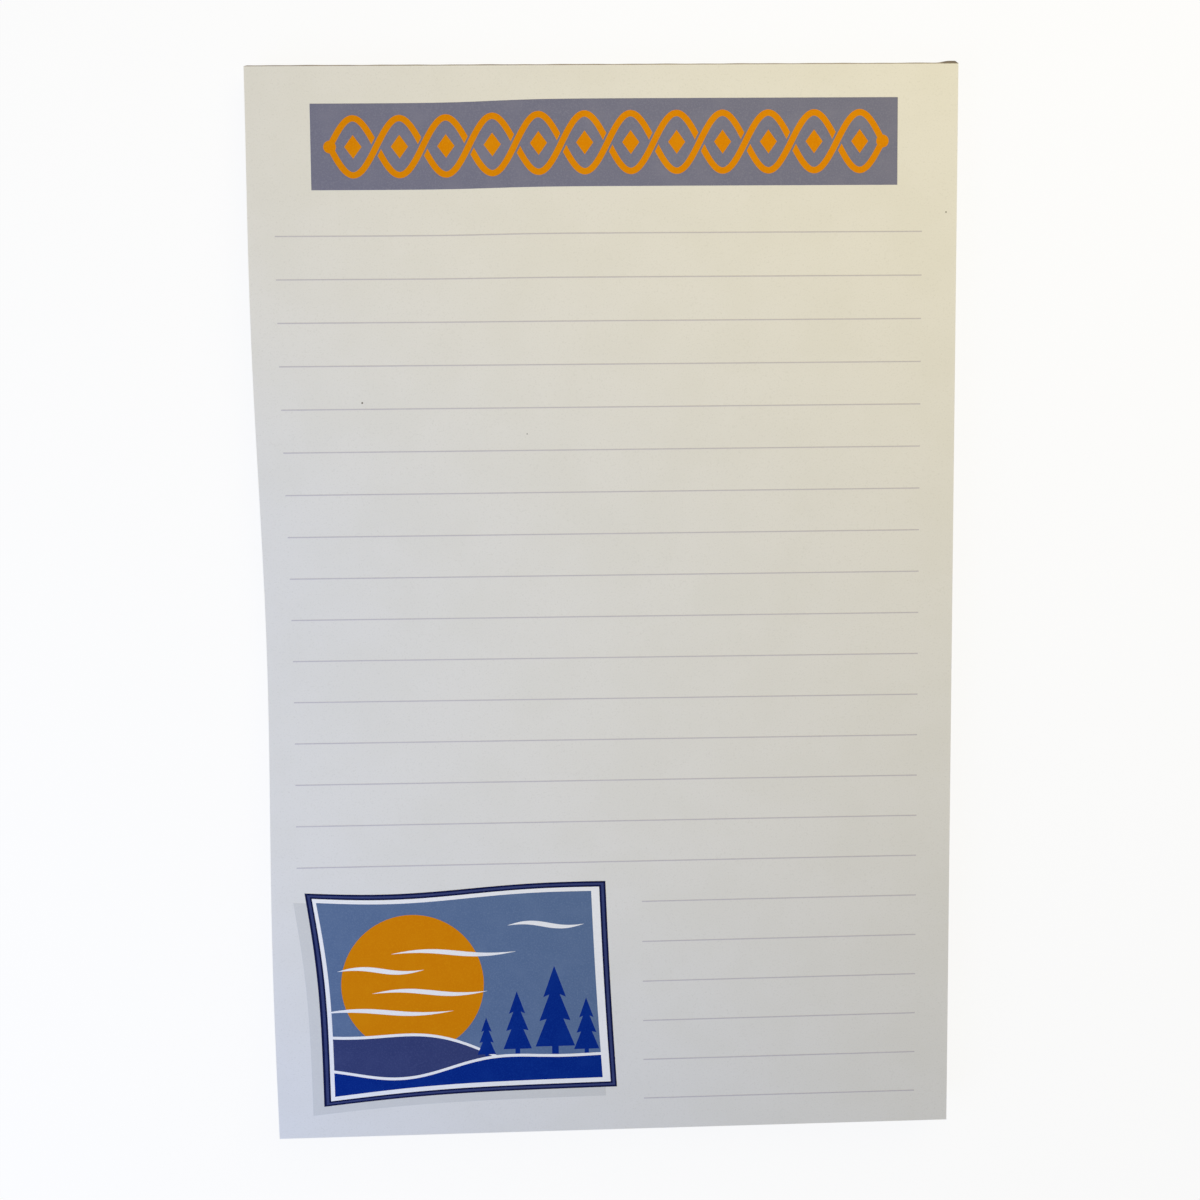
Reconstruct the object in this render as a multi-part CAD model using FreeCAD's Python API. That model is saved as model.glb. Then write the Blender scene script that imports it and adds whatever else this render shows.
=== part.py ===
"""A glued-head writing pad of half-letter leaves, lying on its back.

+X is the right of the page, +Y the glued head and +Z up. The origin is in the middle of
the outline, on the surface that the pad rests on.
"""

import FreeCAD, Part
import math
import os

Vector = FreeCAD.Vector

# Driving sizes, in millimetres

# The leaves, which were cut to size as one pile
leaf_width = 139.7
leaf_length = 215.9
leaf_thickness = 0.1
leaf_count = 50

# The stiff sheet of chipboard under the leaves
board_thickness = 0.8

# The film of padding glue brushed over the head. It ends in a thick bead on the right.
glue_thickness = 0.25
bead_thickness = 0.55
bead_length = 3.2
glue_edge_radius = 0.08

# How far the top leaf has sprung up at the two corners of the foot
left_foot_lift = 5.0
right_foot_lift = 3.7

# The ripple down the left edge of the leaves, which dies out at the right edge
ripple_height = 2.6
ripple_length = 172.7
ripple_trough_from_head = 116.6

# Every few leaves, one stands a little back from the cut edges, clear of the tight head
leaves_between_recesses = 4
recess_depth = 0.25
recess_variation = 0.1
tight_head_length = 9.0

# Places that follow from the sizes
stack_thickness = leaf_count * leaf_thickness
left_x = -leaf_width / 2
right_x = leaf_width / 2
foot_y = -(leaf_length + bead_thickness) / 2
head_y = foot_y + leaf_length
above_leaves = board_thickness + stack_thickness + left_foot_lift + right_foot_lift + ripple_height
cut_reach = 2 * (recess_depth + recess_variation)  # how far a cutting shape stands out

# How many spans the curves are made of
leaf_curve_spans = 10
bead_curve_spans = 6


def edge_lift(side, from_head):
    """The top leaf's lift at one edge: side is 0 at the left edge and 1 at the right."""
    share = from_head / leaf_length
    straight = share * (left_foot_lift + (right_foot_lift - left_foot_lift) * side)
    wave = math.cos(2 * math.pi * (from_head - ripple_trough_from_head) / ripple_length)
    held_at_ends = math.sin(math.pi * share)
    return straight - (1 - side) * ripple_height * wave * held_at_ends


def leaf_height(level, side, from_head):
    """The height of the underside of leaf number level. The upper leaves spring up most."""
    spring = (level / leaf_count) ** 2
    return board_thickness + level * leaf_thickness + spring * edge_lift(side, from_head)


def leaf_curve(level, x):
    """The curve that the underside of one leaf follows from the head to the foot."""
    side = (x - left_x) / leaf_width
    points = []
    for step in range(leaf_curve_spans + 1):
        from_head = leaf_length * step / leaf_curve_spans
        points.append(Vector(x, head_y - from_head, leaf_height(level, side, from_head)))
    curve = Part.BSplineCurve()
    curve.interpolate(points)
    return curve.toShape()


def pile_profile(low_level, high_level, x):
    """The outline of the leaves between two levels, seen from the side, at one x."""
    below = leaf_curve(low_level, x)
    above = leaf_curve(high_level, x)
    head = Part.makeLine(below.Vertexes[0].Point, above.Vertexes[0].Point)
    foot = Part.makeLine(below.Vertexes[-1].Point, above.Vertexes[-1].Point)
    return Part.Wire([below, foot, above, head])


def pile(low_level, high_level, overhang=0):
    """A solid of the leaves between two levels, as one loft from the left edge to the right."""
    left = pile_profile(low_level, high_level, left_x - overhang)
    right = pile_profile(low_level, high_level, right_x + overhang)
    return Part.makeLoft([left, right], True, True)


def recess_cutter(level):
    """What one leaf standing back leaves open: a slot one leaf thick round three edges."""
    left_depth = recess_depth + recess_variation * math.sin(2.1 * level)
    right_depth = recess_depth + recess_variation * math.sin(1.3 * level + 2)
    foot_depth = recess_depth + recess_variation * math.sin(1.7 * level + 4)
    kept_leaf = Part.makeBox(
        leaf_width - left_depth - right_depth,
        leaf_length + cut_reach,
        above_leaves,
        Vector(left_x + left_depth, foot_y + foot_depth, 0),
    )
    tight_head = Part.makeBox(
        leaf_width + 4 * cut_reach,
        tight_head_length + cut_reach,
        above_leaves,
        Vector(left_x - 2 * cut_reach, head_y - tight_head_length, 0),
    )
    return pile(level, level + 1, cut_reach).cut(kept_leaf).cut(tight_head)


def sheet_block():
    """All the leaves as one solid, with the recesses that show where leaves stand back."""
    block = pile(0, leaf_count)
    cutters = []
    for level in range(leaves_between_recesses, leaf_count - 1, leaves_between_recesses):
        cutters.append(recess_cutter(level))
    return block.cut(cutters)


def backing_board():
    """The chipboard, cut flush with the leaves."""
    corner = Vector(left_x, foot_y, 0)
    return Part.makeBox(leaf_width, leaf_length, board_thickness, corner)


def glue_face_y(x):
    """How far out the glue's outer face stands: it swells smoothly into the bead."""
    into_bead = (x - (right_x - bead_length)) / bead_length
    into_bead = max(into_bead, 0)
    swell = into_bead * into_bead * (3 - 2 * into_bead)
    return head_y + glue_thickness + (bead_thickness - glue_thickness) * swell


def glue_binding():
    """The film of glue over the ends of the leaves and the board, with softened edges."""
    height = board_thickness + stack_thickness
    bead_points = []
    for step in range(bead_curve_spans + 1):
        x = right_x - bead_length + bead_length * step / bead_curve_spans
        bead_points.append(Vector(x, glue_face_y(x), 0))
    bead = Part.BSplineCurve()
    bead.interpolate(bead_points)
    left_back = Vector(left_x, head_y, 0)
    left_front = Vector(left_x, glue_face_y(left_x), 0)
    right_back = Vector(right_x, head_y, 0)
    outline = Part.Wire([
        Part.makeLine(left_back, left_front),
        Part.makeLine(left_front, bead_points[0]),
        bead.toShape(),
        Part.makeLine(bead_points[-1], right_back),
        Part.makeLine(right_back, left_back),
    ])
    film = Part.Face(outline).extrude(Vector(0, 0, height))
    outer_edges = [
        edge
        for edge in film.Edges
        if edge.BoundBox.YMin > head_y and edge.BoundBox.ZLength < height / 2
    ]
    return film.makeFillet(glue_edge_radius, outer_edges)


def write(name, shape):
    shape.exportStep(os.path.join("parts", name + ".step"))
    print(name, "solids", len(shape.Solids), "valid", shape.isValid(), "volume", round(shape.Volume, 2))


os.makedirs("parts", exist_ok=True)
write("sheet_block", sheet_block())
write("backing_board", backing_board())
write("glue_binding", glue_binding())
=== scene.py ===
# %% [markdown]
# # A writing pad, leaf by leaf
#
# This scene dresses a small writing pad: fifty leaves on a chipboard back, held along the
# head by a film of padding glue. The leaves have been handled, so they have sprung apart and
# ripple a little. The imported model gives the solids, and this file gives each one the
# surface, the loose edges and the print that the eye looks for.

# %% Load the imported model
import math

import bpy
import numpy as np
from mathutils import Matrix, Vector
from mathutils.geometry import delaunay_2d_cdt


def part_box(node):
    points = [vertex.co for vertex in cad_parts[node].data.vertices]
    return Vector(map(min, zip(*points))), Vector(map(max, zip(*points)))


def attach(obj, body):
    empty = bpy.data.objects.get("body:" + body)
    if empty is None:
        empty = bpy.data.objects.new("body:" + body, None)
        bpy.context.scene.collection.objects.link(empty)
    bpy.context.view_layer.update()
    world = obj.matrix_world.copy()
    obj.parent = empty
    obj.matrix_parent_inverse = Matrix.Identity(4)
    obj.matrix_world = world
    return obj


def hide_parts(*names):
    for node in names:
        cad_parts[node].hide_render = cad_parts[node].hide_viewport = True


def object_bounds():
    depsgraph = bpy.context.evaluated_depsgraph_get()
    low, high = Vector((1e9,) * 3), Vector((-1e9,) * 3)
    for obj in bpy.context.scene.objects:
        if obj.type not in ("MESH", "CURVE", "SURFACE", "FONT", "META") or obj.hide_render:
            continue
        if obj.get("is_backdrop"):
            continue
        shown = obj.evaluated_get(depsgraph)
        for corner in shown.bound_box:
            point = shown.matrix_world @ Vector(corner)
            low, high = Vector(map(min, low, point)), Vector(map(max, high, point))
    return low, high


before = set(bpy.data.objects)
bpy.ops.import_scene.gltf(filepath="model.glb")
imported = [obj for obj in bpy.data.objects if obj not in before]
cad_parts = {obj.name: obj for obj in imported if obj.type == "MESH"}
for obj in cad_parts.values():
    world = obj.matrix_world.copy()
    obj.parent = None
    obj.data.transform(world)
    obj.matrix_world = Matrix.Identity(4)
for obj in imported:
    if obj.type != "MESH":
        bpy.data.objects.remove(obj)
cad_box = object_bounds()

print("nodes in the frame:", sorted(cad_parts))

# %% [markdown]
# ## The pad's sizes
#
# Everything hangs on the solids. The board's box gives the outline of the page and the
# height on which the leaves lie, and the glue's box gives the height of the leaves at the
# head, where the glue holds them tight.

# %% Sizes from the frame
MM = 0.001
board_low, board_high = (np.array(corner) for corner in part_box("backing_board"))
glue_high = np.array(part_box("glue_binding")[1])
left_x, foot_y, board_top = board_low[0], board_low[1], board_high[2]
right_x, head_y, head_top = board_high[0], board_high[1], glue_high[2]
width = right_x - left_x
length = head_y - foot_y
page_middle_y = (foot_y + head_y) / 2

leaf_count = 50
leaf_thickness = (head_top - board_top) / leaf_count
print(f"page {width / MM:.1f} by {length / MM:.1f} mm, head {head_top / MM:.1f} mm high")

# %% [markdown]
# ## How the leaves spring up
#
# Only what a box can't tell is written as a number here: a gentle ripple down the left edge,
# on top of a steady rise to the foot. It dies out towards the right edge. One formula holds
# the whole lift, because the pile, the top leaf and the print all have to follow it.

# %% The lift of the top leaf
left_foot_lift = 5.0 * MM
right_foot_lift = 3.7 * MM
ripple_height = 2.6 * MM
ripple_length = 172.7 * MM
ripple_trough_from_head = 116.6 * MM


def lift(across, from_head):
    """How far the top leaf has sprung up. across is 0 at the left edge and 1 at the right.

    In words: a straight rise to the foot, less a cosine ripple that is held down at the head
    and foot by half a sine, and fades evenly from the left edge to the right.
    """
    share = from_head / length
    rise = share * (left_foot_lift + (right_foot_lift - left_foot_lift) * across)
    wave = np.cos(2 * np.pi * (from_head - ripple_trough_from_head) / ripple_length)
    return rise - (1 - across) * ripple_height * wave * np.sin(np.pi * share)


def page_height(x, y):
    """The height of the top leaf's printed side at a place on the page."""
    return head_top + lift((x - left_x) / width, head_y - y)


foot_corners = [page_height(x, foot_y) / MM for x in (left_x, right_x)]
print("the foot's corners stand", np.round(foot_corners, 2), "mm high")

# %% [markdown]
# ## A colour and a material
#
# A finish is a small graph of nodes that ends in one shader. Screens space their colours
# unevenly and the shader doesn't, so a colour read off a screen has to be made linear first.
# What is the same all over a surface, such as its roughness, is set on the shader itself.

# %% Colours and new materials
def colour(red, green, blue):
    """A screen colour, each part 0 to 255, as the linear colour that the shader needs."""
    parts = np.array([red, green, blue]) / 255
    linear = np.where(parts <= 0.04045, parts / 12.92, ((parts + 0.055) / 1.055) ** 2.4)
    return (*linear.tolist(), 1.0)


def new_material(name, roughness, specular):
    """A material with its Principled shader, whose constant values sit on its own sockets."""
    material = bpy.data.materials.new(name)
    material.use_nodes = True
    shader = material.node_tree.nodes["Principled BSDF"]
    shader.inputs["Roughness"].default_value = roughness
    shader.inputs["Specular IOR Level"].default_value = specular
    return material, material.node_tree, shader


print(f"screen grey 128 of 255 is {colour(128, 128, 128)[0]:.3f} when linear")

# %% [markdown]
# ## Patterns in few words
#
# Every finish here reads Object coordinates, so it needs no picture and no unwrapping, and a
# pattern keeps its real size. A noise of some millimetres gives the blobs. Easing it between
# two values makes clouds or flecks of it, a mix lays one colour over another by it, and a
# bump lets it catch the light.

# %% Patterns, mixes and bumps
def place(tree, stretch=(1, 1, 1)):
    """Object coordinates in millimetres, squeezed along each axis by stretch."""
    coordinates = tree.nodes.new("ShaderNodeTexCoord")
    mapping = tree.nodes.new("ShaderNodeMapping")
    mapping.inputs["Scale"].default_value = [1 / MM / part for part in stretch]
    tree.links.new(coordinates.outputs["Object"], mapping.inputs["Vector"])
    return mapping.outputs["Vector"]


def noise(tree, size, detail=2, stretch=(1, 1, 1)):
    """A soft random pattern from 0 to 1 whose blobs are about size millimetres across."""
    texture = tree.nodes.new("ShaderNodeTexNoise")
    texture.inputs["Scale"].default_value = 1 / size
    texture.inputs["Detail"].default_value = detail
    tree.links.new(place(tree, stretch), texture.inputs["Vector"])
    return texture.outputs["Fac"]


def between(tree, value, low, high):
    """The share from 0 to 1 that a value has come from low to high, clamped and eased."""
    node = tree.nodes.new("ShaderNodeMapRange")
    node.interpolation_type = "SMOOTHSTEP"
    node.inputs["From Min"].default_value = low
    node.inputs["From Max"].default_value = high
    tree.links.new(value, node.inputs["Value"])
    return node.outputs["Result"]


def mixed(tree, share, first, second):
    """first where share is 0 and second where it is 1. Each is a colour or a socket."""
    node = tree.nodes.new("ShaderNodeMix")
    node.data_type = "RGBA"
    tree.links.new(share, node.inputs["Factor"])
    for name, value in (("A", first), ("B", second)):
        socket = next(i for i in node.inputs if i.name == name and i.type == "RGBA")
        if isinstance(value, tuple):
            socket.default_value = value
        else:
            tree.links.new(value, socket)
    return next(o for o in node.outputs if o.type == "RGBA")


def bumped(tree, shader, height, depth, strength):
    """Lets a pattern from 0 to 1 stand depth millimetres proud, as a bump on the shader."""
    node = tree.nodes.new("ShaderNodeBump")
    node.inputs["Strength"].default_value = strength
    node.inputs["Distance"].default_value = depth * MM
    tree.links.new(height, node.inputs["Height"])
    tree.links.new(node.outputs["Normal"], shader.inputs["Normal"])


# %% [markdown]
# ## Paper
#
# Writing paper is a felt of short fibres. Close to, its surface has a fine tooth and its
# tone clouds a little where the fibres lie thicker. Both are noises: a small one for the
# tooth, which also lifts the surface, and a wide one for the clouds. Uncoated paper hardly
# shines, so the surface stays rough. A few dark specks were caught in the top leaf. Each is a
# soft dot where the distance from a named place is small.

# %% The paper's finish
paper_white = colour(228, 227, 224)
paper_cloud = colour(226, 225, 221)
paper_pit = colour(217, 216, 212)
speck_brown = colour(92, 84, 76)
# The place and the radius of each speck, in millimetres from the middle of the page
specks = [(-48.6, 43.0, 0.25), (67.7, 79.4, 0.2), (-16.1, 36.6, 0.15)]
speck_core = 0.4  # the share of the radius in which a speck is fully dark
flattened = (1, 1, 1e6)  # leaves the height out of a distance


def specked(tree, tone):
    """Lays a soft dark dot over a tone at each speck, by the distance from its middle."""
    for x, y, radius in specks:
        away = tree.nodes.new("ShaderNodeVectorMath")
        away.operation = "DISTANCE"
        away.inputs[1].default_value = (x, y + page_middle_y / MM, 0)
        tree.links.new(place(tree, flattened), away.inputs[0])
        dot = between(tree, away.outputs["Value"], radius, radius * speck_core)
        tone = mixed(tree, dot, tone, speck_brown)
    return tone


def paper_finish(name, with_specks):
    """Paper: a wide cloudy noise and a fine tooth over its white, and its specks if any."""
    material, tree, shader = new_material(name, roughness=0.9, specular=0.15)
    clouds = noise(tree, size=11, detail=3)
    tooth = noise(tree, size=0.32, detail=4)
    tone = mixed(tree, between(tree, clouds, low=0.35, high=0.7), paper_white, paper_cloud)
    tone = mixed(tree, between(tree, tooth, low=0.5, high=0.85), tone, paper_pit)
    if with_specks:
        tone = specked(tree, tone)
    tree.links.new(tone, shader.inputs["Base Color"])
    bumped(tree, shader, tooth, depth=0.02, strength=0.6)
    print(name, "has", len(tree.nodes), "nodes")
    return material


leaf_paper = paper_finish("leaf_paper", with_specks=False)
top_paper = paper_finish("top_leaf_paper", with_specks=True)

# %% [markdown]
# ## A mesh from arrays
#
# Blender takes a mesh as plain arrays: the points, and for each face the numbers of its
# corners. foreach_set copies a whole array at once, which is quick even for many thousands of
# points. Every new piece then rides on the pad's one body, as the solids do.

# %% A piece from points and faces
def new_piece(name, points, faces, material, sharp_degrees=35):
    """A mesh object from an array of points and one of faces, all with as many corners."""
    mesh = bpy.data.meshes.new(name)
    corners = faces.shape[1]
    mesh.vertices.add(len(points))
    mesh.vertices.foreach_set("co", np.ascontiguousarray(points, np.float32).ravel())
    mesh.loops.add(faces.size)
    mesh.loops.foreach_set("vertex_index", np.ascontiguousarray(faces, np.int32).ravel())
    mesh.polygons.add(len(faces))
    mesh.polygons.foreach_set("loop_start", np.arange(0, faces.size, corners, dtype=np.int32))
    mesh.update(calc_edges=True)
    mesh.validate()
    mesh.shade_smooth()
    mesh.set_sharp_from_angle(angle=math.radians(sharp_degrees))
    mesh.materials.append(material)
    piece = bpy.data.objects.new(name, mesh)
    bpy.context.scene.collection.objects.link(piece)
    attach(piece, "root")
    print(f"{name}: {len(points)} points, {len(faces)} faces")
    return piece


# %% [markdown]
# ## Grids and piles
#
# A sheet is a grid of points: one number runs across the page and one up it. numpy works out
# the whole grid at once. A pile of sheets is the same idea turned on its side. Its two caps
# are grids, and between them the wall is a profile carried round the rim: out along one
# leaf's underside, up its edge, in along its top and out again along the next. That gives
# real gaps between leaves in one closed surface.

# %% Grids over the page
def page_grid(spans_across, spans_along):
    """Two grids of shares: across the page from its left edge, and up it from its foot."""
    shares_across = np.linspace(0, 1, spans_across + 1)
    shares_along = np.linspace(0, 1, spans_along + 1)
    return np.meshgrid(shares_across, shares_along)


def rim(grid):
    """The values round the edge of a grid, anticlockwise from the foot's left corner."""
    return np.concatenate([grid[0, :-1], grid[:-1, -1], grid[-1, :0:-1], grid[:0:-1, 0]])


def grid_faces(shape, first=0):
    """The four corners of each cell of a grid of points, anticlockwise seen from above."""
    index = first + np.arange(shape[0] * shape[1]).reshape(shape)
    cells = index[:-1, :-1], index[:-1, 1:], index[1:, 1:], index[1:, :-1]
    return np.stack([corner.ravel() for corner in cells], axis=1)


def surface(x, y, z):
    """Three arrays of coordinates as one array of places."""
    return np.stack(np.broadcast_arrays(x, y, z), axis=-1)


def closed_pile(bottom, rows, top):
    """The points and faces of a closed surface, from a grid below to a grid on top.

    bottom and top are grids of places, whose rims are the wall's first and last row. rows
    are the rows between them, each as long as a rim.
    """
    shape = bottom.shape[:2]
    cap = shape[0] * shape[1]
    around = rim(np.arange(cap).reshape(shape))
    middle = cap + np.arange(len(rows) * len(around)).reshape(len(rows), len(around))
    top_first = cap + middle.size
    wall = np.concatenate([around[None], middle, top_first + around[None]])
    ahead = np.roll(wall, -1, axis=1)
    sides = np.stack([wall[:-1], ahead[:-1], ahead[1:], wall[1:]], axis=-1).reshape(-1, 4)
    faces = np.concatenate([grid_faces(shape)[:, ::-1], sides, grid_faces(shape, top_first)])
    points = [bottom.reshape(-1, 3), *rows, top.reshape(-1, 3)]
    return np.concatenate(points), faces


# %% [markdown]
# ## The air between the leaves
#
# A pad is cut as one block, so its leaves start out flush. Handling bends them, air gets in
# between, and each leaf then sits a hair in or out of line. The air isn't shared evenly: some
# leaves cling together and others part. So each gap gets a weight that grows up the pile, as
# the upper leaves spring most, times a slow random wave along the page. Adding the weights up
# leaf by leaf gives every leaf's share of the lift, and no two leaves can cross.

# %% The height of each leaf
rng = np.random.default_rng(21)
most_across, most_along = 1.2, 1.6  # how many waves a gap can have over the page, each way
lowest, highest = [0, -most_across, -most_along], [2 * np.pi, most_across, most_along]
gap_waves = rng.uniform(lowest, highest, (leaf_count, 3))
least_uneven, most_uneven = 0.25, 0.95
gap_unevenness = rng.uniform(least_uneven, most_uneven, leaf_count)


def leaf_tops(across, along):
    """The height of each leaf's upper side over a grid of shares of the page.

    In words: board top, plus the leaves so far at their thickness, plus the top leaf's lift
    times the leaf's share of the air. A share is the running total of the gaps' weights.
    """
    number = np.arange(1, leaf_count + 1)[:, None, None]
    phase, turns_across, turns_along = gap_waves.T[:, :, None, None]
    wave = np.sin(phase + 2 * np.pi * (turns_across * across + turns_along * along))
    weight = (2 * number - 1) * (1 + gap_unevenness[:, None, None] * wave)
    share = np.cumsum(weight, axis=0) / weight.sum(axis=0)
    return board_top + number * leaf_thickness + share * lift(across, (1 - along) * length)


pile_spans = 40, 62
across, along = page_grid(*pile_spans)
tops = leaf_tops(across, along)
air = (np.diff(tops, axis=0) - leaf_thickness) / MM
print(f"air between two leaves: {air.mean():.3f} mm on average, {air.max():.3f} at most")

# %% [markdown]
# ## The pile under the top leaf
#
# Each leaf's outline is the page's, drawn in by a hair on its three free edges. One leaf in
# four stands back a little further, as in the solid. Between leaves the wall turns inwards by
# just under a millimetre, which is as far as anyone can look into a gap.

# %% The outline of each leaf
gap_depth = 0.9 * MM
glued_gap_depth = 0.02 * MM
recess_every = 4
recess_depth = 0.25 * MM
recess_variation = 0.1 * MM
recess_waves = np.array([(2.1, 0), (1.3, 2), (1.7, 4)])  # radians a leaf, and a start
most_stray = 0.07 * MM
stray = rng.uniform(0, most_stray, (leaf_count, 3))


def drawn_in(number):
    """How far one leaf's left, right and foot edges stand in from the cut edges."""
    if number == 0 or number % recess_every:
        return stray[number]
    turn, start = recess_waves.T
    return recess_depth + recess_variation * np.sin(turn * number + start)


def outline(across, along, number, depth=0.0, head_depth=0.0):
    """Places round one leaf: shares of the page, drawn in by its own amounts and by depth."""
    left, right, foot = drawn_in(number) + depth
    x = left_x + left + across * (width - left - right)
    y = foot_y + foot + along * (length - foot - head_depth)
    return x, y


print("leaf", recess_every, "stands back", np.round(drawn_in(recess_every) / MM, 2), "mm")

# %% [markdown]
# The wall has four rows for each leaf: the inner and outer edge of its underside, and the
# outer and inner edge of its top. The lowest underside and the highest top are the two caps.

# %% The leaves under the top one
pile_leaves = leaf_count - 1
edge_height = 0.93 * leaf_thickness  # the rest of each leaf's pitch is a hairline of air
across_rim, along_rim = rim(across), rim(along)
rows = []
for number in range(pile_leaves):
    top = rim(tops[number])
    outer = outline(across_rim, along_rim, number)
    inner = outline(across_rim, along_rim, number, gap_depth, glued_gap_depth)
    if number > 0:
        rows.append(surface(*inner, top - edge_height))
        rows.append(surface(*outer, top - edge_height))
    if number < pile_leaves - 1:
        rows.append(surface(*outer, top))
        rows.append(surface(*inner, top))
pile_bottom = surface(*outline(across, along, 0), board_top)
pile_top = surface(*outline(across, along, pile_leaves - 1), tops[pile_leaves - 1])
leaf_pile = new_piece("leaf_pile", *closed_pile(pile_bottom, rows, pile_top), leaf_paper)
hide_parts("sheet_block")

# %% [markdown]
# ## The top leaf
#
# The leaf on top is the one that is looked at, so it is a piece of its own with a finer grid
# and the specks. It is cut to the full size of the page and follows the lift exactly.

# %% The top leaf
leaf_spans = 70, 108
across, along = page_grid(*leaf_spans)
x, y = left_x + across * width, foot_y + along * length
height = page_height(x, y)
leaf_bottom = surface(x, y, height - leaf_thickness)
leaf_top = surface(x, y, height)
top_leaf = new_piece("top_leaf", *closed_pile(leaf_bottom, [], leaf_top), top_paper)
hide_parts("sheet_block")

# %% [markdown]
# ## Cutting the print
#
# Ink lies on paper as a film a few microns thick, and each colour of the print is such a film
# here: a thin plate that follows the page. Its edges come from its shape, so they stay crisp
# at any distance, where a painted pattern would be as coarse as its pixels.
#
# The shapes are worked out flat, in millimetres from the middle of the page, and listed in
# painting order, so that a later shape covers an earlier one. A Delaunay triangulation cuts
# them all against each other, and each triangle goes to the last shape that holds it. Extra
# points inside keep the triangles small enough to bend with the page.

# %% Cutting shapes against each other
film_spacing = 2.2  # millimetres between the extra points that let a film bend
row_spacing = film_spacing * math.sin(math.pi / 3)  # rows of even triangles
triangles_inside = 1  # the kind of result that keeps only what lies in a shape
merging_distance = 1e-5


def inside_points(low, high):
    """A staggered grid of points over the rectangle between two corners."""
    xs = np.arange(low[0], high[0], film_spacing)
    ys = np.arange(low[1], high[1], row_spacing)
    grid_x, grid_y = np.meshgrid(xs, ys)
    grid_x[1::2] += film_spacing / 2
    return np.stack([grid_x.ravel(), grid_y.ravel()], axis=1)


def uppermost(held, window):
    """The last painted of the shapes that hold a triangle, or -1 where none shows there."""
    return max((number for number in held if number <= window or window in held), default=-1)


def painted(shapes, window=None):
    """Cuts shapes, each an outline and an ink, and gives the points and each ink's triangles.

    A shape that comes after the one numbered window shows only inside that one.
    """
    if window is None:
        window = len(shapes)
    outlines = [np.asarray(shape) for shape, ink in shapes]
    starts = np.cumsum([0] + [len(shape) for shape in outlines])
    rings = [list(range(a, b)) for a, b in zip(starts[:-1], starts[1:])]
    every = np.concatenate(outlines)
    spread = inside_points(every.min(axis=0), every.max(axis=0))
    points = np.concatenate([every, spread]).tolist()
    cut = delaunay_2d_cdt(points, [], rings, triangles_inside, merging_distance)
    flat, triangles, holders = np.array(cut[0]), np.array(cut[2]), cut[5]
    last = np.array([uppermost(held, window) for held in holders])
    inks = {}
    for ink in dict.fromkeys(ink for shape, ink in shapes):
        wears = [number for number, (shape, own) in enumerate(shapes) if own == ink]
        inks[ink] = triangles[np.isin(last, wears)]
    return flat, inks


# %% [markdown]
# ## Films of ink
#
# A cut shape becomes a film in two layers, one just over the paper and one just inside it,
# joined by a wall along every edge that only one triangle has. The sheets crept a little in
# the press, so near the head the print is bent by a few tenths of a millimetre.

# %% A film of ink
film_rise = 0.02  # how far a film stands on the paper, in millimetres
film_root = 0.02  # and how far it reaches into it
creep_middle, creep_swing = 0.13, 0.4
creep_turn_x, creep_turn_length = -22.0, 10.0
creep_low_y, creep_high_y = 48.0, 104.0


def crept(x, y):
    """How far the print has crept up the page at a place, all in millimetres.

    In words: down at the head's left end and up over the rest of it, turning over from one to
    the other as a hyperbolic tangent does, and fading to nothing a quarter of the way down.
    """
    at_head = creep_middle + creep_swing * np.tanh((x - creep_turn_x) / creep_turn_length)
    share = np.clip((y - creep_low_y) / (creep_high_y - creep_low_y), 0, 1)
    return at_head * share * share * (3 - 2 * share)


def border(triangles, count):
    """The two ends of each edge that only one triangle has.

    An edge is written as one number, its start times count plus its end, and is on the border
    where no other triangle has it the other way round.
    """
    start = triangles.ravel()
    end = np.roll(triangles, -1, axis=1).ravel()
    alone = ~np.isin(start * count + end, end * count + start)
    return start[alone], end[alone]


def film(name, flat, triangles, material):
    """A thin closed plate over some triangles of the page, following its height."""
    used, index = np.unique(triangles, return_inverse=True)
    index = index.reshape(triangles.shape)
    count = len(used)
    x = flat[used, 0] * MM
    y = (flat[used, 1] + crept(*flat[used].T)) * MM + page_middle_y
    z = page_height(x, y)
    over = surface(x, y, z + film_rise * MM)
    under = surface(x, y, z - film_root * MM)
    start, end = border(index, count)
    walls = np.concatenate([
        np.stack([end, start, start + count], axis=1),
        np.stack([end, start + count, end + count], axis=1),
    ])
    faces = np.concatenate([index, index[:, ::-1] + count, walls])
    new_piece(name, np.concatenate([over, under]), faces, material)


print(f"ink films are {film_rise + film_root:.2f} mm thick")

# %% [markdown]
# ## Inks
#
# Printing ink lies a little unevenly, since the paper's tooth shows through. So each ink is
# its colour with a fine mottle, slightly smoother than the paper round it.

# %% The inks' finish
def ink_finish(name, tone, mottle):
    """An ink: a colour, mottled towards a second one by a fine and a wider noise."""
    material, tree, shader = new_material(name, roughness=0.75, specular=0.05)
    grain = noise(tree, size=0.3, detail=3)
    clouds = noise(tree, size=5, detail=2)
    shade = mixed(tree, between(tree, grain, low=0.42, high=0.75), tone, mottle)
    shade = mixed(tree, between(tree, clouds, low=0.4, high=1.0), shade, mottle)
    tree.links.new(shade, shader.inputs["Base Color"])
    bumped(tree, shader, grain, depth=0.01, strength=0.5)
    return material


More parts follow.
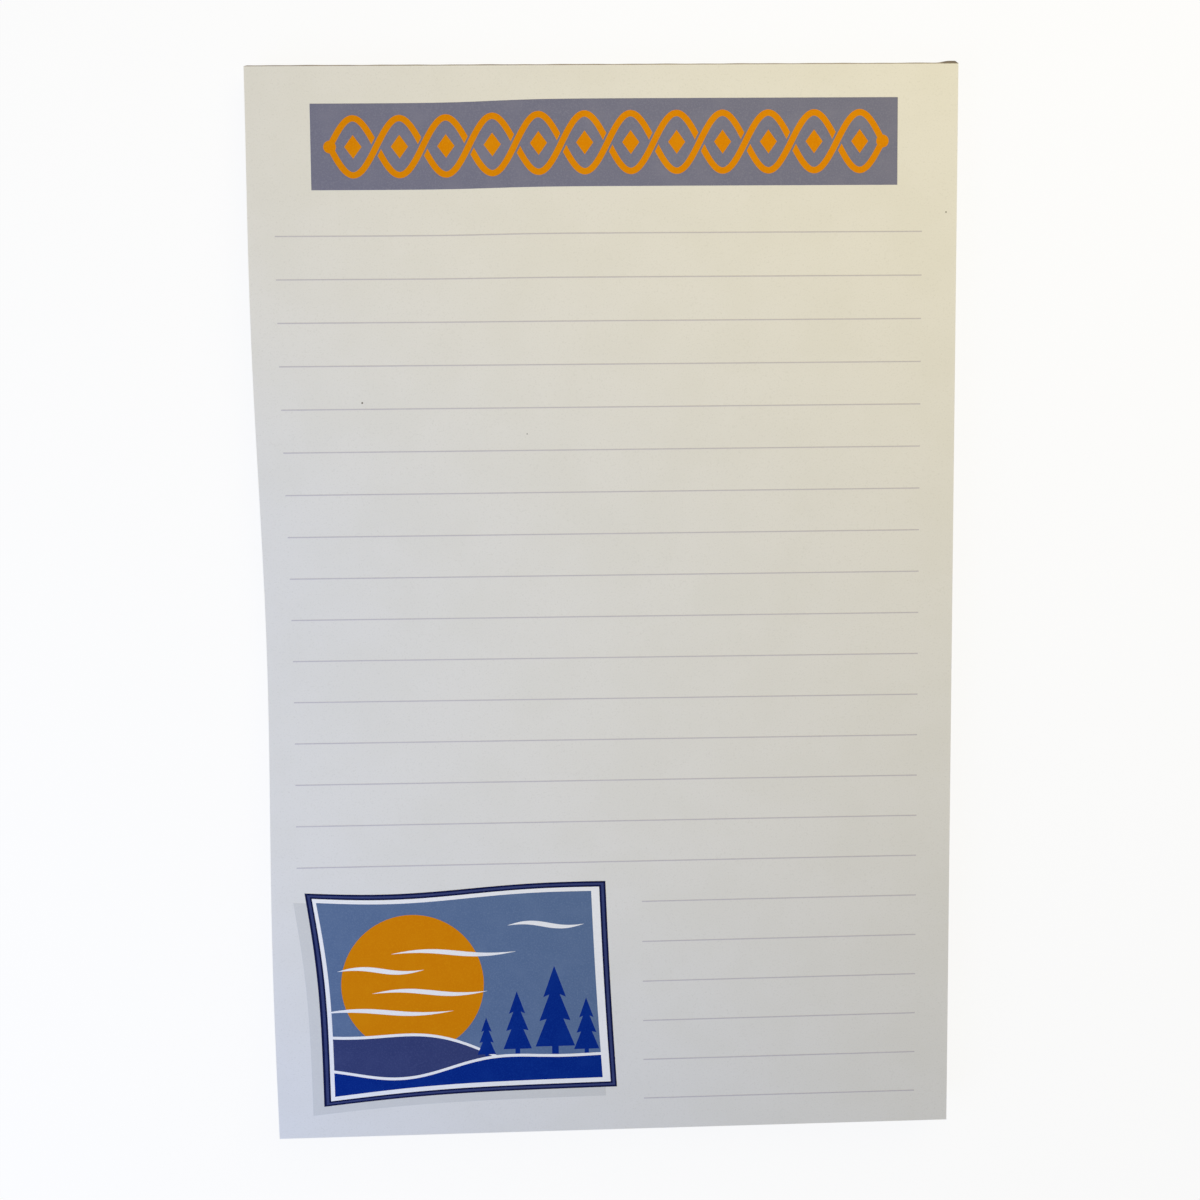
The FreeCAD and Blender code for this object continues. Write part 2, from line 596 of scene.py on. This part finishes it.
inks = {
    "slate": ink_finish("slate_ink", colour(116, 118, 142), colour(127, 128, 150)),
    "picture_slate": ink_finish(
        "picture_slate_ink", colour(90, 112, 148), colour(101, 122, 156)
    ),
    "orange": ink_finish("orange_ink", colour(216, 133, 0), colour(220, 143, 8)),
    "deep_orange": ink_finish("deep_orange_ink", colour(212, 128, 0), colour(217, 138, 5)),
    "royal": ink_finish("royal_blue_ink", colour(0, 38, 128), colour(10, 50, 138)),
    "navy": ink_finish("navy_ink", colour(12, 19, 62), colour(20, 27, 70)),
    "dusk": ink_finish("dusk_blue_ink", colour(52, 62, 110), colour(62, 72, 119)),
    "white": ink_finish("opaque_white_ink", colour(242, 242, 243), colour(236, 236, 238)),
    "grey": ink_finish("shadow_grey_ink", colour(210, 210, 208), colour(215, 215, 212)),
    "rule": ink_finish("ruling_ink", colour(195, 191, 197), colour(202, 198, 204)),
}
print(len(inks), "inks:", ", ".join(inks))

# %% [markdown]
# ## Ruled lines
#
# The ruling is one evenly spaced set: sixteen lines across the page, then six short ones
# beside the picture. A loop places each as a thin box, with points close enough along it to
# follow the page.

# %% The ruling
first_rule_y = 75.42
rule_pitch = 8.416
rule_breadth = 0.23
full_rules, short_rules = 16, 6
rule_left, rule_right, short_rule_left = -64.6, 62.9, 5.9


def rectangle(left, low, right, high):
    """The outline of a box, anticlockwise, with points about a film's spacing apart."""
    xs = np.linspace(left, right, max(2, round((right - left) / film_spacing) + 1))
    ys = np.linspace(low, high, max(2, round((high - low) / film_spacing) + 1))
    sides = surface(xs[:-1], low, 0), surface(right, ys[:-1], 0), surface(xs[:0:-1], high, 0)
    return np.concatenate([*sides, surface(left, ys[:0:-1], 0)])[:, :2]


rule_shapes = []
for line in range(full_rules + short_rules):
    line_y = first_rule_y - rule_pitch * line
    start_x = rule_left if line < full_rules else short_rule_left
    low, high = line_y - rule_breadth / 2, line_y + rule_breadth / 2
    rule_shapes.append((rectangle(start_x, low, rule_right, high), "rule"))
flat, found = painted(rule_shapes)
film("ruled_lines", flat, found["rule"], inks["rule"])

# %% [markdown]
# ## The header band
#
# A slate band crosses the head of the page. Its ornament is a guilloche, the plait of two
# waves that printers have long used: one sine wave and its mirror image cross and leave a row
# of eyes, each with a lozenge in the middle.

# %% The band and its strands
band_left, band_right, band_low, band_high = -57.3, 57.9, 84.35, 101.05
plait_left, plait_right = -53.6, 54.9
plait_height = 5.5
plait_breadth = 1.25
eyes = 12
steps_an_eye = 32
lozenge_half_width, lozenge_half_height = 1.7, 2.3


def ribbon(path, breadth):
    """The outline of a stroke: the path moved half its breadth each way along its normal."""
    ahead = np.gradient(path, axis=0)
    ahead /= np.linalg.norm(ahead, axis=1, keepdims=True)
    normal = np.stack([-ahead[:, 1], ahead[:, 0]], axis=1)
    half = np.broadcast_to(np.asarray(breadth) / 2, len(path))[:, None]
    return np.concatenate([path - normal * half, (path + normal * half)[::-1]])


def disc(x, y, radius, points=72):
    """The outline of a circle."""
    turn = np.linspace(0, 2 * np.pi, points, endpoint=False)
    return np.stack([x + radius * np.cos(turn), y + radius * np.sin(turn)], axis=1)


def lozenge(x, y):
    """The outline of a lozenge: out to its half width and half height by turns."""
    reach = [(-lozenge_half_width, 0), (0, -lozenge_half_height)]
    return (x, y) + np.array(reach + [(-across, -up) for across, up in reach])


band_middle_y = (band_low + band_high) / 2
eye_length = (plait_right - plait_left) / eyes
along_plait = np.linspace(0, eyes, eyes * steps_an_eye + 1)
swing = plait_height * np.sin(np.pi * along_plait)
plait_x = plait_left + eye_length * along_plait
strands = [np.stack([plait_x, band_middle_y + side * swing], axis=1) for side in (1, -1)]
band_shapes = [(rectangle(band_left, band_low, band_right, band_high), "slate")]
band_shapes += [(ribbon(strand, plait_breadth), "orange") for strand in strands]
print(eyes, "eyes of", round(eye_length, 2), "mm")

# %% [markdown]
# The strands go over and under by turns. At each crossing the upper one is drawn once more,
# with a slim edge of the ground on both sides. A small disc joins the strands at each end.

# %% The crossings, the ends and the lozenges
crossing_reach = 6  # steps each side of a crossing
crossing_gap = 0.4
end_radius = plait_breadth

for crossing in range(1, eyes):
    middle = crossing * steps_an_eye
    over = strands[crossing % 2][middle - crossing_reach:middle + crossing_reach + 1]
    band_shapes.append((ribbon(over, plait_breadth + 2 * crossing_gap), "slate"))
    band_shapes.append((ribbon(over, plait_breadth), "orange"))
plait_ends = plait_left, plait_right
band_shapes += [(disc(x, band_middle_y, end_radius), "orange") for x in plait_ends]
eye_middles = plait_left + eye_length * (np.arange(eyes) + 0.5)
band_shapes += [(lozenge(x, band_middle_y), "orange") for x in eye_middles]
flat, found = painted(band_shapes)
film("header_band", flat, found["slate"], inks["slate"])
film("header_plait", flat, found["orange"], inks["orange"])

# %% [markdown]
# ## The picture's frame
#
# At lower left the page carries a small picture in a waved frame, with a pale printed shadow
# that makes it look pinned on. The frame is four waved edges between four corners. Drawing
# it in by steps gives a dark line, a lighter core, a second dark line, a white mount and the
# sky.

# %% The waved frame
frame_corners = np.array([(-63.1, -56.0), (-1.6, -54.8), (0.3, -98.6), (-60.4, -101.2)])
edge_pushes = (-0.55, -0.5), (-0.17, 0.0), (-0.85, 0.1), (-1.1, 0.1)
edge_steps = 26
shadow_offset = np.array([-2.3, -1.9])
layers = [  # how far each is drawn in from the left, the right, the top and the bottom
    ((0.0, 0.0, 0.0, 0.0), "navy"),
    ((0.5, 0.4, 0.38, 0.38), "dusk"),
    ((1.05, 0.9, 0.78, 0.78), "navy"),
    ((1.45, 1.3, 1.15, 1.15), "white"),
    ((2.3, 2.95, 2.0, 2.1), "picture_slate"),
]


def waved(start, end, single, double):
    """Points from start to end, pushed sideways by half a sine wave and a whole one."""
    share = np.linspace(0, 1, edge_steps, endpoint=False)[:, None]
    ahead = (end - start) / np.linalg.norm(end - start)
    aside = np.array([-ahead[1], ahead[0]])
    push = single * np.sin(np.pi * share) + double * np.sin(2 * np.pi * share)
    return start + (end - start) * share + aside * push


def frame_outline(left, right, top, bottom):
    """The picture's waved outline, drawn in from each side by so many millimetres."""
    moves = np.array([(left, -top), (-right, -top), (-right, bottom), (left, bottom)])
    corners = frame_corners + moves
    sides = zip(corners, np.roll(corners, -1, axis=0), edge_pushes)
    return np.concatenate([waved(start, end, *push) for start, end, push in sides])[::-1]


frame_shapes = [(frame_outline(0, 0, 0, 0) + shadow_offset, "grey")]
frame_shapes += [(frame_outline(*drawn), ink) for drawn, ink in layers]
sky = len(frame_shapes) - 1
print(len(frame_shapes), "shapes in the frame")

# %% [markdown]
# ## The sun, the hills and the firs
#
# In the sky a low sun with streaks of haze stands behind two hills, and firs grow along the
# nearer one. All are outlines by formula: a streak is a line that swells and thins, a hill is
# a long wave with a short one on it, and a fir is three stacked triangles, each narrower than
# the last. The haze, the snow on the hills and the mount are printed in opaque white, which
# is brighter than the paper.

# %% Outlines for the picture
haze_breadth = 1.0
haze_bend = 0.5
haze_tip = 0.01  # the share left off at each end, so that a streak doesn't end in nothing
haze_points, hill_points = 36, 70
short_turns, short_start = 2.3, 1  # the short wave on a hill's long one
picture_left, picture_right, below_picture = -61.0, -2.0, -102.0
# A fir's right side: half widths and heights as shares of its height
trunk = [(0.035, 0.0), (0.035, 0.12)]
branches = [(0.21, 0.12), (0.09, 0.42), (0.165, 0.4), (0.055, 0.69), (0.12, 0.66)]
tiers = trunk + branches


def streak(x, y, half_length):
    """A streak of haze: a slightly bent line, broadest in the middle, with pointed ends."""
    share = np.linspace(haze_tip, 1 - haze_tip, haze_points)
    path_x = x + half_length * (2 * share - 1)
    path = np.stack([path_x, y + haze_bend * np.sin(2 * np.pi * share)], axis=1)
    return ribbon(path, haze_breadth * np.sin(np.pi * share))


def ridge(x, height, swing, span, shift):
    """A hill's line: a long sine wave with a shorter one of a third its height on it."""
    turn = 2 * np.pi * (x - shift) / span
    short_wave = np.sin(short_turns * turn + short_start) / 3
    return height + swing * (np.sin(turn) + short_wave)


def hill(height, swing, span, shift):
    """The outline of a hill, from its line down past the foot of the picture."""
    x = np.linspace(picture_left, picture_right, hill_points)
    line = np.stack([x, ridge(x, height, swing, span, shift)], axis=1)
    feet = [(picture_left, below_picture), (picture_right, below_picture)]
    return np.concatenate([line[::-1], feet])


def fir(x, y, height):
    """A fir on its foot at a place: its right side, its tip and its right side mirrored."""
    right = (x, y) + np.array(tiers) * height
    left = (x, y) + np.array(tiers[::-1]) * (-height, height)
    return np.concatenate([right, [(x, y + height)], left])


print("a fir has", 2 * len(tiers) + 1, "points")

# %% [markdown]
# The shapes follow each other from the back of the view to the front, each hill after its
# snow, so that only the snow's upper edge stays in sight. They show only inside the sky.

# %% The sun, the hills and the firs
sun_x, sun_y, sun_radius = -41.5, -75.5, 14.6
# The place and the half length of each streak
haze = [(-47, -81.2, 14), (-38, -77.2, 12), (-48, -72.4, 9), (-33, -69.0, 13)]
lone_streak = (-14, -63.6, 8)
# The height, the swing, the span and the shift of each hill's line
far_hill = -89.6, 4.2, 92.0, -78.0
near_hill = -93.2, 2.1, 74.0, -30.0
snow_depth = 0.6
firs = [(-12.4, 19.5), (-20.2, 14.0), (-5.9, 12.5), (-26.6, 9.0)]  # place and height


def snowed(height, *shape):
    """A hill's numbers, with its line raised by the depth of the snow."""
    return (height + snow_depth, *shape)


picture_shapes = frame_shapes + [(disc(sun_x, sun_y, sun_radius), "deep_orange")]
picture_shapes += [(streak(*spot), "white") for spot in haze + [lone_streak]]
picture_shapes += [(hill(*snowed(*far_hill)), "white"), (hill(*far_hill), "dusk")]
picture_shapes += [(fir(x, ridge(x, *near_hill), height), "royal") for x, height in firs]
picture_shapes += [(hill(*snowed(*near_hill)), "white"), (hill(*near_hill), "royal")]
flat, found = painted(picture_shapes, window=sky)
piece_names = {
    "grey": "picture_shadow",
    "navy": "picture_frame_lines",
    "white": "picture_mount",
    "dusk": "picture_dusk",
    "picture_slate": "picture_sky",
    "deep_orange": "picture_sun",
    "royal": "picture_firs",
}
for ink, name in piece_names.items():
    film(name, flat, found[ink], inks[ink])

# %% [markdown]
# ## The look of the glue
#
# Padding glue is brushed over the clamped head, two coats of it, and dries to a rubbery skin
# with a dull shine. The brush leaves streaks along the head, so the noise for them is
# stretched that way. At the right end, over the bead, the glue is painted dark brown: a painted
# shadow at the head's corner. Its border wanders, because a noise is added to the place along
# the head before that is eased from glue to the painted shadow.

# %% The glue's finish
bead_length = 4.2 * MM
# The next two values shape the painted shadow, in dark brown, at the head's right corner
bead_shadow_spread = 0.35  # the share of the bead's length in which its colour deepens
shadow_border_wander = 2.4  # millimetres that the noise can push the bead's border
glue_taupe = colour(148, 137, 126)
glue_shade = colour(139, 128, 118)
# Painted shadow: the dark brown laid over the glue at its right end
painted_bead_shadow = colour(98, 87, 80)
brushed_out = (7, 1, 0.8)  # the streaks are drawn out along the head

glue_material, tree, shader = new_material("padding_glue", roughness=0.42, specular=0.45)
streaks = noise(tree, size=1.1, detail=3, stretch=brushed_out)
coat = mixed(tree, between(tree, streaks, low=0.3, high=0.75), glue_taupe, glue_shade)
axes = tree.nodes.new("ShaderNodeSeparateXYZ")
tree.links.new(place(tree), axes.inputs["Vector"])
pushed = tree.nodes.new("ShaderNodeMath")
pushed.operation = "MULTIPLY_ADD"
pushed.inputs[1].default_value = shadow_border_wander
tree.links.new(noise(tree, size=2.5, detail=3), pushed.inputs[0])
tree.links.new(axes.outputs["X"], pushed.inputs[2])
bead_start = right_x - bead_length
shadow_border_start = bead_start / MM + shadow_border_wander / 2
shadow_border_end = shadow_border_start + bead_shadow_spread * bead_length / MM
# How far into the painted shadow at the right end, with a wandering border
into_painted_shadow = between(tree, pushed.outputs[0], shadow_border_start, shadow_border_end)
coat = mixed(tree, into_painted_shadow, coat, painted_bead_shadow)
tree.links.new(coat, shader.inputs["Base Color"])
bumped(tree, shader, streaks, depth=0.04, strength=0.5)
print("the glue has", len(tree.nodes), "nodes")

# %% [markdown]
# ## The film of glue
#
# The film is a closed plate over the head. Its thickness is a sum of low waves from the
# brush. Where the brush was lifted off, it swells into the bead by a smooth step, which
# starts a little further in or out from the leaves to the board. At its rims it thins to
# nearly nothing as a quarter circle does.

# %% The glue film
glue_spans = 220, 22
bead_rise = 0.65  # the share of the bead's length in which it reaches its full thickness
thin_glue, brush_wave = 0.215 * MM, 0.016 * MM
brush_waves = (0.9, 0.5, 0), (0.37, -0.8, 2)  # radians a millimetre along and up, and a start
bead_lean = 0.5 * MM
rim_rounding = 0.12 * MM
rim_thinning = 0.96
bead_thickness = glue_high[1] - head_y

across, up = page_grid(*glue_spans)
x = right_x - across * width
z = glue_high[2] * (1 - np.cos(np.pi * up)) / 2
waves = sum(
    np.sin(along * x / MM + rise * z / MM + start) for along, rise, start in brush_waves
)
thickness = thin_glue + brush_wave * waves
swell_start = bead_start + bead_lean * np.sin(2 * np.pi * up)
swell = np.clip((x - swell_start) / (bead_rise * bead_length), 0, 1)
swell = swell * swell * (3 - 2 * swell)
thickness = thickness + (bead_thickness - thickness) * swell
to_rim = np.minimum(np.minimum(z, glue_high[2] - z), np.minimum(x - left_x, right_x - x))
inside = np.clip(to_rim / rim_rounding, 0, 1)
thickness = thickness * np.sqrt(1 - (1 - inside) ** 2 * rim_thinning)
glue_back = surface(x, head_y, z)
glue_front = surface(x, head_y + thickness, z)
glue_shape = closed_pile(glue_back, [], glue_front)
glue_film = new_piece("glue_film", *glue_shape, glue_material, sharp_degrees=60)
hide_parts("glue_binding")
print(f"glue from {thickness.min() / MM:.2f} to {thickness.max() / MM:.2f} mm thick")

# %% [markdown]
# ## The board
#
# The back is grey chipboard, which is pressed from waste paper. Its faces show stray dark and
# pale fibres in a mottled ground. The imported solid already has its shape, so it only gets the
# finish: a noise for the mottle, and stretched ones for the fibres.

# %% The chipboard's finish
board_pale, board_grey = colour(150, 139, 122), colour(133, 123, 108)
pale_fibre, dark_fibre = colour(186, 178, 164), colour(92, 84, 76)

chipboard, tree, shader = new_material("chipboard", roughness=0.93, specular=0.2)
mottle = noise(tree, size=1.6, detail=4)
pale = noise(tree, size=0.3, detail=2, stretch=(4, 1, 1))
dark = noise(tree, size=0.35, detail=2, stretch=(1, 5, 1))
tone = mixed(tree, between(tree, mottle, low=0.3, high=0.75), board_pale, board_grey)
tone = mixed(tree, between(tree, pale, low=0.66, high=0.74), tone, pale_fibre)
tone = mixed(tree, between(tree, dark, low=0.68, high=0.76), tone, dark_fibre)
tree.links.new(tone, shader.inputs["Base Color"])
bumped(tree, shader, mottle, depth=0.06, strength=0.6)
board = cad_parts["backing_board"]
board.data.materials.clear()
board.data.materials.append(chipboard)
print("the board has", len(tree.nodes), "nodes")

# %% [markdown]
# ## The floor
#
# The pad lies on a plain white floor. To the camera and in glosses the floor glows a little
# by itself, so it stays white behind the pad and still takes a soft shadow. It throws no
# extra light on the pad. It lies a hair under the board, so that the two don't flicker.

# %% A white floor
floor_half = 3.0
floor_grey = 0.85
glow_share = 0.9
floor_clearance = 0.03 * MM


def seen(tree, share):
    """share for a ray from the camera, off a gloss or through glass, and 0 for any other."""
    rays = tree.nodes.new("ShaderNodeLightPath")
    value = rays.outputs["Is Camera Ray"]
    for kind in ("Is Glossy Ray", "Is Transmission Ray"):
        either = tree.nodes.new("ShaderNodeMath")
        either.operation = "MAXIMUM"
        tree.links.new(value, either.inputs[0])
        tree.links.new(rays.outputs[kind], either.inputs[1])
        value = either.outputs[0]
    scaled = tree.nodes.new("ShaderNodeMath")
    scaled.operation = "MULTIPLY"
    scaled.inputs[1].default_value = share
    tree.links.new(value, scaled.inputs[0])
    return scaled.outputs[0]


bpy.ops.mesh.primitive_plane_add(size=2 * floor_half)
floor = bpy.context.object
floor.name = "floor"
floor.data.transform(Matrix.Translation((0, 0, -floor_clearance)))
floor_material = bpy.data.materials.new("white_floor")
floor_material.use_nodes = True
tree = floor_material.node_tree
tree.nodes.clear()
diffuse = tree.nodes.new("ShaderNodeBsdfDiffuse")
diffuse.inputs["Color"].default_value = (floor_grey, floor_grey, floor_grey, 1)
glow = tree.nodes.new("ShaderNodeEmission")
either = tree.nodes.new("ShaderNodeMixShader")
output = tree.nodes.new("ShaderNodeOutputMaterial")
tree.links.new(seen(tree, glow_share), either.inputs["Fac"])
tree.links.new(diffuse.outputs[0], either.inputs[1])
tree.links.new(glow.outputs[0], either.inputs[2])
tree.links.new(either.outputs[0], output.inputs["Surface"])
floor.data.materials.append(floor_material)
floor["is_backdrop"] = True
print("floor", 2 * floor_half, "m wide")

# %% [markdown]
# ## The surround
#
# The world lights the pad faintly and evenly from all sides, as the walls of a pale room do.
# The camera and the glosses see it in the near white that the floor has far from the lamps,
# so that no horizon shows behind the pad. There the floor's tone is its glow, and for the
# rest its own grey under the faint light of the world.

# %% The surround
surround_strength = 0.2
far_floor = glow_share + (1 - glow_share) * floor_grey * surround_strength
world = bpy.data.worlds.new("studio")
bpy.context.scene.world = world
world.use_nodes = True
tree = world.node_tree
surround = tree.nodes["Background"]
surround.inputs["Color"].default_value = (1, 1, 1, 1)
surround.inputs["Strength"].default_value = surround_strength
backdrop = tree.nodes.new("ShaderNodeBackground")
backdrop.inputs["Color"].default_value = (1, 1, 1, 1)
backdrop.inputs["Strength"].default_value = far_floor
either = tree.nodes.new("ShaderNodeMixShader")
tree.links.new(seen(tree, 1.0), either.inputs["Fac"])
tree.links.new(surround.outputs[0], either.inputs[1])
tree.links.new(backdrop.outputs[0], either.inputs[2])
tree.links.new(either.outputs[0], tree.nodes["World Output"].inputs["Surface"])
print(f"surround {surround_strength}, seen as {far_floor:.3f}")

# %% [markdown]
# ## The lamps
#
# Two soft lamps stand close to the pad, a warm one off the upper right and a cool one off the
# left, so that the paper turns slowly from cream to a cool white across the page. Both are
# broad, which keeps the shadows soft.

# %% The lamps
lamp_size = 0.35


def lamp(name, position, power, tint):
    """A square area lamp aimed at the middle of the page."""
    data = bpy.data.lights.new(name, "AREA")
    data.energy = power
    data.size = lamp_size
    data.color = tint
    light = bpy.data.objects.new(name, data)
    light.location = position
    aim = Vector((0, 0, head_top)) - light.location
    light.rotation_euler = aim.to_track_quat("-Z", "Y").to_euler()
    light.visible_camera = False
    bpy.context.scene.collection.objects.link(light)
    print(f"{name} lamp, {aim.length:.2f} m from the page, {power} W")


lamp("key", (0.11, 0.2, 0.28), power=1.01, tint=(1.0, 0.85, 0.42))
lamp("fill", (-0.25, -0.13, 0.22), power=1.13, tint=(0.42, 0.57, 1.0))

# %% [markdown]
# ## The camera
#
# The camera looks almost straight down on the pad from a little nearer than arm's length. Its
# place and turn were fitted to the page's edges and ruled lines, with the page taken to be
# half letter. The view hardly fixes the lens: a range of lenses fits about equally well, each
# with a place of its own, and this is one of them.

# %% The camera
camera_data = bpy.data.cameras.new("camera")
camera_data.lens = 34.5
camera_data.sensor_width = 36
camera_data.clip_start = 0.01
camera = bpy.data.objects.new("camera", camera_data)
camera.location = (-7.05 * MM, 24.94 * MM, 239.25 * MM)
camera.rotation_euler = [math.radians(angle) for angle in (-5.43, -1.323, -0.688)]
bpy.context.scene.collection.objects.link(camera)
bpy.context.scene.camera = camera
bpy.context.scene.view_settings.view_transform = "Standard"
print("camera", round(camera.location.length, 3), "m from the middle of the board")

# %% [markdown]
# ## Sizes, and the end
#
# Last, the box round the dressed pad is printed beside the box of the solids. They have to
# agree, since whoever uses the part relies on the solids for its size.

# %% Sizes, and the end
scene_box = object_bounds()
print("box of the solids and of the scene, mm:")
for box in (cad_box, scene_box):
    print([[round(value / MM, 2) for value in corner] for corner in box])
